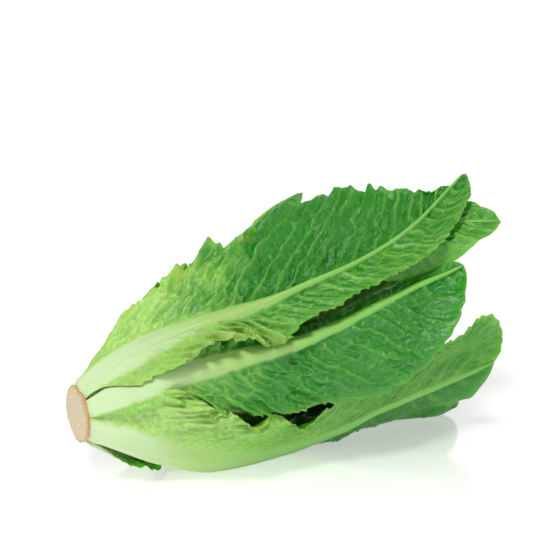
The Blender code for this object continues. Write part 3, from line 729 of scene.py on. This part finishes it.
def leaf_group():
    """Shader group for every leaf: blade green by age, mottled, and deeper green in its hollows as painted
    shade;
    paler veins, margin and midrib; and the height of the fine pucker of the blade and the long lines of the
    midrib."""
    old = bpy.data.node_groups.get("Leaf surface")
    if old is not None:
        bpy.data.node_groups.remove(old)
    group = bpy.data.node_groups.new("Leaf surface", "ShaderNodeTree")
    for key in ("Rib", "Rib middle", "Rib green", "Tender", "Young", "Deep"):
        group.interface.new_socket(key, in_out="INPUT", socket_type="NodeSocketColor")
    group.interface.new_socket("Colour", in_out="OUTPUT", socket_type="NodeSocketColor")
    for key in ("Roughness", "Height"):
        group.interface.new_socket(key, in_out="OUTPUT", socket_type="NodeSocketFloat")
    given, out = add(group, "NodeGroupInput").outputs, add(group, "NodeGroupOutput").inputs
    masks = {
        key: add(group, "ShaderNodeAttribute", attribute_name=key).outputs["Fac"]
        for key in ("rib", "vein", "age", "share", "margin", "hollow", "tender")
    }
    chart = add(group, "ShaderNodeUVMap", uv_map="Surface").outputs["UV"]
    place_in = add(group, "ShaderNodeTexCoord").outputs["Object"]

    def noisy(source, scale, detail, distortion=0.0):
        node = add(group, "ShaderNodeTexNoise", {"Scale": scale, "Detail": detail, "Distortion": distortion})
        group.links.new(source, node.inputs["Vector"])
        return node.outputs["Fac"]

    def scaled(value, factor, shift=0.0):
        return math_node(group, "MULTIPLY_ADD", value, factor, shift)

    def plus(first, second):
        return math_node(group, "ADD", first, second)

    def times(first, second):
        return math_node(group, "MULTIPLY", first, second)

    clouds, specks = noisy(place_in, 55.0, 3.0), noisy(place_in, 420.0, 2.0)
    # Painted shade: the blade's colour deepens in its hollows, added on top of its age and mottle
    aged_with_hollow_shade = plus(plus(masks["age"], scaled(clouds, 0.45, -0.225)), scaled(masks["hollow"], 0.28))
    soft = mixed(group, masks["tender"], given["Young"], given["Tender"])
    blade = mixed(group, clamped(group, aged_with_hollow_shade), soft, given["Deep"])
    blade = mixed(group, 1.0, blade, grey(group, scaled(specks, 0.8, 0.6)), "MULTIPLY")
    pale = mixed(group, 0.45, given["Rib green"], given["Young"])
    blade = mixed(group, scaled(masks["vein"], 0.33), blade, pale)
    blade = mixed(group, scaled(masks["margin"], 0.35), blade, given["Young"])

    # The midrib turns green along the leaf in two steps, and carries long lines
    drift = scaled(clouds, 0.3, -0.15)
    rib = given["Rib"]
    for key, slope, start in (("Rib middle", 3.6, -0.12), ("Rib green", 3.2, -1.0)):
        greening = plus(scaled(masks["share"], slope, start), drift)
        rib = mixed(group, clamped(group, greening), rib, given[key])
    lines = add(group, "ShaderNodeMapping", {"Scale": (0.35, 14.0, 1.0)})
    wire(group, (chart, lines.inputs["Vector"]))
    fibres = noisy(lines.outputs["Vector"], 1.0, 3.0)
    rib = mixed(group, 1.0, rib, grey(group, scaled(fibres, 0.20, 0.90)), "MULTIPLY")

    pucker = add(group, "ShaderNodeTexVoronoi", {"Scale": 3.6}, feature="SMOOTH_F1")
    wire(group, (chart, pucker.inputs["Vector"]))
    fine = plus(scaled(pucker.outputs["Distance"], 0.7), scaled(noisy(chart, 9.0, 3.0, 0.6), 0.6))
    height = plus(times(fine, scaled(masks["rib"], -1.0, 1.0)), times(scaled(fibres, 0.2), masks["rib"]))
    rough = plus(scaled(clouds, 0.16, 0.24), scaled(masks["rib"], 0.06))
    tint = mixed(group, masks["rib"], blade, rib)
    wire(group, (tint, out["Colour"]), (rough, out["Roughness"]), (height, out["Height"]))
    return group


def fresh_material(name):
    """New material in place of an old one of that name, with its node tree and its shader."""
    old = bpy.data.materials.get(name)
    if old is not None:
        bpy.data.materials.remove(old)
    material = bpy.data.materials.new(name)
    material.use_nodes = True
    return material, material.node_tree, material.node_tree.nodes["Principled BSDF"]


def leaf_material(name, group, greens):
    """Waxy, slightly see-through leaf: the group's colour over a thin scattering shell."""
    material, tree, shader = fresh_material(name)
    surface = add(tree, "ShaderNodeGroup", node_tree=group)
    for key, green in greens.items():
        surface.inputs[key].default_value = (*green, 1)
    bump = add(tree, "ShaderNodeBump", {"Strength": 0.9, "Distance": 0.001})
    wire(
        tree,
        (surface.outputs["Colour"], shader.inputs["Base Color"]),
        (surface.outputs["Roughness"], shader.inputs["Roughness"]),
        (surface.outputs["Height"], bump.inputs["Height"]),
        (bump.outputs["Normal"], shader.inputs["Normal"]),
    )
    shader.inputs["Subsurface Weight"].default_value = 0.45
    shader.inputs["Subsurface Radius"].default_value = (0.4, 1.0, 0.12)
    shader.inputs["Subsurface Scale"].default_value = 0.0018
    shader.inputs["Specular IOR Level"].default_value = 0.45
    shader.inputs["Coat Weight"].default_value = 0.05
    shader.inputs["Coat Roughness"].default_value = 0.2
    return material


def stem_material(colours):
    """Cut stem: cream pith with pale rings and dots of sap tubes, darker and browner towards the torn
    rim."""
    material, tree, shader = fresh_material("cut_stem_flesh")
    where = add(tree, "ShaderNodeTexCoord").outputs["Object"]
    rim = add(tree, "ShaderNodeAttribute", attribute_name="rim").outputs["Fac"]
    ring = add(tree, "ShaderNodeAttribute", attribute_name="ring").outputs["Fac"]

    def noisy(scale, detail):
        node = add(tree, "ShaderNodeTexNoise", {"Scale": scale, "Detail": detail})
        tree.links.new(where, node.inputs["Vector"])
        return node.outputs["Fac"]

    clouds, grit = noisy(170.0, 4.0), noisy(900.0, 3.0)
    browning = math_node(tree, "ADD", rim, math_node(tree, "MULTIPLY_ADD", clouds, 0.7, -0.42))
    browning = clamped(tree, math_node(tree, "MULTIPLY", browning, 0.85))
    flesh = mixed(tree, math_node(tree, "MULTIPLY", ring, 0.35), (*colours.cut, 1), (*colours.ring, 1))
    tint = mixed(tree, browning, flesh, (*colours.browned, 1))
    shade = math_node(tree, "MULTIPLY_ADD", grit, 0.5, 0.75)
    tint = mixed(tree, 1.0, tint, grey(tree, shade), "MULTIPLY")
    height = math_node(tree, "ADD", grit, math_node(tree, "MULTIPLY", clouds, 1.2))
    bump = add(tree, "ShaderNodeBump", {"Strength": 0.6, "Distance": 0.0006})
    rough = math_node(tree, "MULTIPLY_ADD", clouds, 0.25, 0.45)
    wire(
        tree,
        (tint, shader.inputs["Base Color"]),
        (rough, shader.inputs["Roughness"]),
        (height, bump.inputs["Height"]),
        (bump.outputs["Normal"], shader.inputs["Normal"]),
    )
    shader.inputs["Subsurface Weight"].default_value = 0.25
    shader.inputs["Subsurface Radius"].default_value = (1.0, 0.7, 0.4)
    shader.inputs["Subsurface Scale"].default_value = 0.0015
    return material


def floor_material(glow):
    """White polished floor with a soft reflection, a slight unevenness of gloss, and a glow of its own, a
    painted light that lifts its shadows, fuller in front of the head and dimmer under and behind it as
    painted shade."""
    material, tree, shader = fresh_material("studio_floor")
    where = add(tree, "ShaderNodeTexCoord").outputs["Object"]
    cloud = add(tree, "ShaderNodeTexNoise", {"Scale": 3.0, "Detail": 2.0})
    forward = add(tree, "ShaderNodeVectorMath", operation="DOT_PRODUCT")
    forward.inputs[1].default_value = FLOOR_FRONT
    # Painted shade: the floor's glow drops to six tenths under and behind the head
    ends = {"From Min": 0.01, "From Max": 0.08, "To Min": 0.60, "To Max": 1.0}
    front = add(tree, "ShaderNodeMapRange", ends)
    wire(
        tree,
        (where, cloud.inputs["Vector"]),
        (where, forward.inputs[0]),
        (forward.outputs["Value"], front.inputs["Value"]),
        (grey(tree, front.outputs[0]), shader.inputs["Emission Color"]),
    )
    rough = math_node(tree, "MULTIPLY_ADD", cloud.outputs["Fac"], 0.04, 0.12)
    tree.links.new(rough, shader.inputs["Roughness"])
    shader.inputs["Base Color"].default_value = (0.64, 0.64, 0.64, 1)
    shader.inputs["Metallic"].default_value = 0.50
    shader.inputs["Emission Strength"].default_value = glow
    return material


# ---------------------------------------------------------------- operators


room_left = Room()


class LETTUCE_OT_outer_leaves(bpy.types.Operator):
    """Builds the ten outer leaves, the outermost first"""

    bl_idname = "lettuce.outer_leaves"
    bl_label = "Outer leaves"

    def execute(self, context):
        settings, colours = context.scene.lettuce_leaves, context.scene.lettuce_colours
        group = leaf_group()
        greens = {
            "Rib": colours.rib, "Rib middle": colours.rib_middle, "Rib green": colours.rib_green,
            "Tender": colours.tender, "Young": colours.young, "Deep": colours.deep,
        }
        material = leaf_material("outer_leaf_green", group, greens)
        room_left.radius[:] = OPEN_AIR
        for name, character in OUTER.items():
            make_leaf(name, COMMON | character, settings, room_left, material)
        return {"FINISHED"}


class LETTUCE_OT_heart_leaves(bpy.types.Operator):
    """Builds the twelve heart leaves under the outer ones"""

    bl_idname = "lettuce.heart_leaves"
    bl_label = "Heart leaves"

    def execute(self, context):
        settings, colours = context.scene.lettuce_leaves, context.scene.lettuce_colours
        group = bpy.data.node_groups["Leaf surface"]
        greens = {
            "Rib": [0.5 * (a + b) for a, b in zip(colours.rib, colours.heart_rib)],
            "Rib middle": colours.heart, "Rib green": colours.young, "Young": colours.heart,
            "Tender": [0.5 * (a + b) for a, b in zip(colours.heart, colours.tender)],
            "Deep": [0.55 * a + 0.45 * b for a, b in zip(colours.deep, colours.young)],
        }
        material = leaf_material("heart_leaf_green", group, greens)
        for index, name in enumerate(HEART):
            character = COMMON | HEART_LEAF | dict(seed=200 + 13 * index)
            make_leaf(name, character, settings, room_left, material)
        return {"FINISHED"}


def stem_form():
    """Stem as a closed surface turned about the axis: the cut face from its centre out to the rim, then
    the side back into the head. The rim's radius wavers with noise and scallops where leaf stalks were
    cut, and the cut face is upright, so each point of it slides along the axis by its height times the
    tangent of the pitch."""
    around = np.linspace(0, 2 * math.pi, STEM_TURNS, endpoint=False)[None, :]
    stations = np.linspace(0, 1, STEM_RINGS)[:, None]
    out = np.clip(stations / 0.5, 0, 1)
    back = np.clip((stations - 0.5) / 0.5, 0, 1)
    ripple = 0.55 * noise(around * 9 / (2 * math.pi), 0.5, 71) * np.sin(around / 2) ** 2
    scallop = 0.7 * np.abs(np.sin(around * 2.5 + 0.4)) + 0.35 * np.sin(around * 11 + 1.0) * np.sin(around * 4)
    rim = CORE_RADIUS + 0.2 + ripple + scallop
    side = np.interp(back, (0, 0.05, 0.15, 0.4, 1), (1, 1.01, 0.95, 0.74, 0.60))
    radius = np.maximum(rim * np.where(back > 0, side, out**0.8), 0.02)
    dome = 0.5 * (1 - out**2) + 0.35 * bell(out, 0.93, 0.05)
    rough = 0.22 * noise(radius * np.cos(around) / 1.6 + 30, radius * np.sin(around) / 1.6 + 30, 73)
    rough = rough * smooth(0.05, 0.3, out) * (back == 0)
    s = 0.9 - dome - rough + STEM_DEPTH * back**1.3
    upright = 1 - smooth(0.1, 0.5, back)
    s = s - radius * np.sin(around) * math.tan(AXIS_PITCH) * upright
    rim_mask = smooth(0.80, 1.0, out + 0 * around) * (1 - smooth(0.08, 0.3, back))
    wander = 2.0 * noise(around * 8 / (2 * math.pi), 3.3, 79) * np.sin(around / 2)
    ring = 0.5 + 0.5 * np.sin(out * 26 + wander)
    return place(s, -around + 0 * stations, radius), rim_mask, ring * (back == 0)


class LETTUCE_OT_cut_stem(bpy.types.Operator):
    """Builds the cut stem with its browned rim"""

    bl_idname = "lettuce.cut_stem"
    bl_label = "Cut stem"

    def execute(self, context):
        points, rim, ring = stem_form()
        rings, turns = rim.shape
        ids = np.arange(rings * turns).reshape(rings, turns)
        ids = np.concatenate((ids, ids[:, :1]), axis=1)
        half, caps = turns // 2, []
        for row, order in ((ids[0, :-1], 1), (ids[-1, :-1], -1)):
            left, right = row[: half + 1], np.concatenate((row[:1], row[half:][::-1]))
            quads = np.stack((left[:-1], left[1:], right[1:], right[:-1]), axis=-1)
            caps.append(quads[:, ::order])
        stem = make_piece(
            "stem_cut",
            points.reshape(-1, 3),
            np.concatenate((grid_faces(ids), *caps)),
            stem_material(context.scene.lettuce_colours),
            {"rim": rim, "ring": ring},
        )
        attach(stem, "root")
        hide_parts("stem_core")
        return {"FINISHED"}


def area_light(name, location, target, size, power, tint):
    """Square soft light at a place, turned to a target."""
    data = bpy.data.lights.new(name, "AREA")
    data.shape, data.size, data.energy, data.color = "SQUARE", size, power, tint
    light = bpy.data.objects.new(name, data)
    light.location = location
    light.rotation_euler = (Vector(target) - Vector(location)).to_track_quat("-Z", "Y").to_euler()
    bpy.context.scene.collection.objects.link(light)


class LETTUCE_OT_studio(bpy.types.Operator):
    """Sets up the floor, the surround, the lights and the camera"""

    bl_idname = "lettuce.studio"
    bl_label = "Studio"

    def execute(self, context):
        settings = context.scene.lettuce_studio
        half = settings.floor_size / 2
        corners = np.array(((-half, -half, 0), (half, -half, 0), (half, half, 0), (-half, half, 0)), float)
        floor = make_piece("studio_floor", corners, np.array(((0, 1, 2, 3),)), floor_material(settings.glow))
        world = bpy.data.worlds.new("White surround")
        world.use_nodes = True
        sky = world.node_tree
        way = add(sky, "ShaderNodeSeparateXYZ")
        wire(sky, (add(sky, "ShaderNodeTexCoord").outputs["Generated"], way.inputs[0]))
        ends = {"From Min": 0.25, "From Max": 0.75, "To Min": settings.horizon, "To Max": settings.surround}
        ramp = add(sky, "ShaderNodeMapRange", ends)
        shine = sky.nodes["Background"].inputs
        wire(sky, (way.outputs["Z"], ramp.inputs["Value"]), (ramp.outputs[0], shine["Strength"]))
        shine["Color"].default_value = (1, 1, 1, 1)
        context.scene.world = world
        sun = bpy.data.lights.new("key_light", "SUN")
        sun.energy, sun.angle, sun.color = settings.key, KEY_ANGLE, (1, 0.99, 0.97)
        key = bpy.data.objects.new("key_light", sun)
        key.rotation_euler = Vector(KEY_WAY).to_track_quat("-Z", "Y").to_euler()
        context.scene.collection.objects.link(key)
        area_light("fill_light", (0.9, -1.1, 0.7), (0, 0, 0.07), 0.9, settings.fill, (0.98, 0.99, 1))
        data = bpy.data.cameras.new("camera")
        data.lens, data.sensor_width, data.clip_start, data.clip_end = CAMERA_LENS, 36, 0.01, 60
        camera = bpy.data.objects.new("camera", data)
        level = math.cos(CAMERA_ELEVATION)
        across, away = math.sin(CAMERA_AZIMUTH) * level, math.cos(CAMERA_AZIMUTH) * level
        back = Vector((across, -away, math.sin(CAMERA_ELEVATION)))
        camera.location = Vector(CAMERA_TARGET) + back * CAMERA_DISTANCE
        camera.rotation_euler = (-back).to_track_quat("-Z", "Y").to_euler()
        context.scene.collection.objects.link(camera)
        context.scene.camera = camera
        context.scene.view_settings.view_transform = "Standard"
        return {"FINISHED"}


class LETTUCE_PT_panel(bpy.types.Panel):
    """Lists the pieces, their sizes and their colours"""

    bl_idname = "LETTUCE_PT_panel"
    bl_label = "Romaine lettuce"
    bl_space_type = "VIEW_3D"
    bl_region_type = "UI"
    bl_category = "Lettuce"

    def draw(self, context):
        for operator in OPERATORS:
            self.layout.operator(operator.bl_idname)
        scene = context.scene
        for settings in (scene.lettuce_leaves, scene.lettuce_colours, scene.lettuce_studio):
            box = self.layout.box()
            for key in type(settings).__annotations__:
                box.prop(settings, key)


OPERATORS = (LETTUCE_OT_outer_leaves, LETTUCE_OT_heart_leaves, LETTUCE_OT_cut_stem, LETTUCE_OT_studio)
CLASSES = (LeafSettings, LeafColours, StudioSettings, *OPERATORS, LETTUCE_PT_panel)


def register():
    for each in CLASSES:
        bpy.utils.register_class(each)
    bpy.types.Scene.lettuce_leaves = bpy.props.PointerProperty(type=LeafSettings)
    bpy.types.Scene.lettuce_colours = bpy.props.PointerProperty(type=LeafColours)
    bpy.types.Scene.lettuce_studio = bpy.props.PointerProperty(type=StudioSettings)


def unregister():
    del bpy.types.Scene.lettuce_studio, bpy.types.Scene.lettuce_colours, bpy.types.Scene.lettuce_leaves
    for each in reversed(CLASSES):
        bpy.utils.unregister_class(each)


def main():
    """Builds the pieces."""
    register()
    bpy.ops.lettuce.outer_leaves()
    bpy.ops.lettuce.heart_leaves()
    bpy.ops.lettuce.cut_stem()
    bpy.ops.lettuce.studio()


if __name__ == "__main__":
    main()
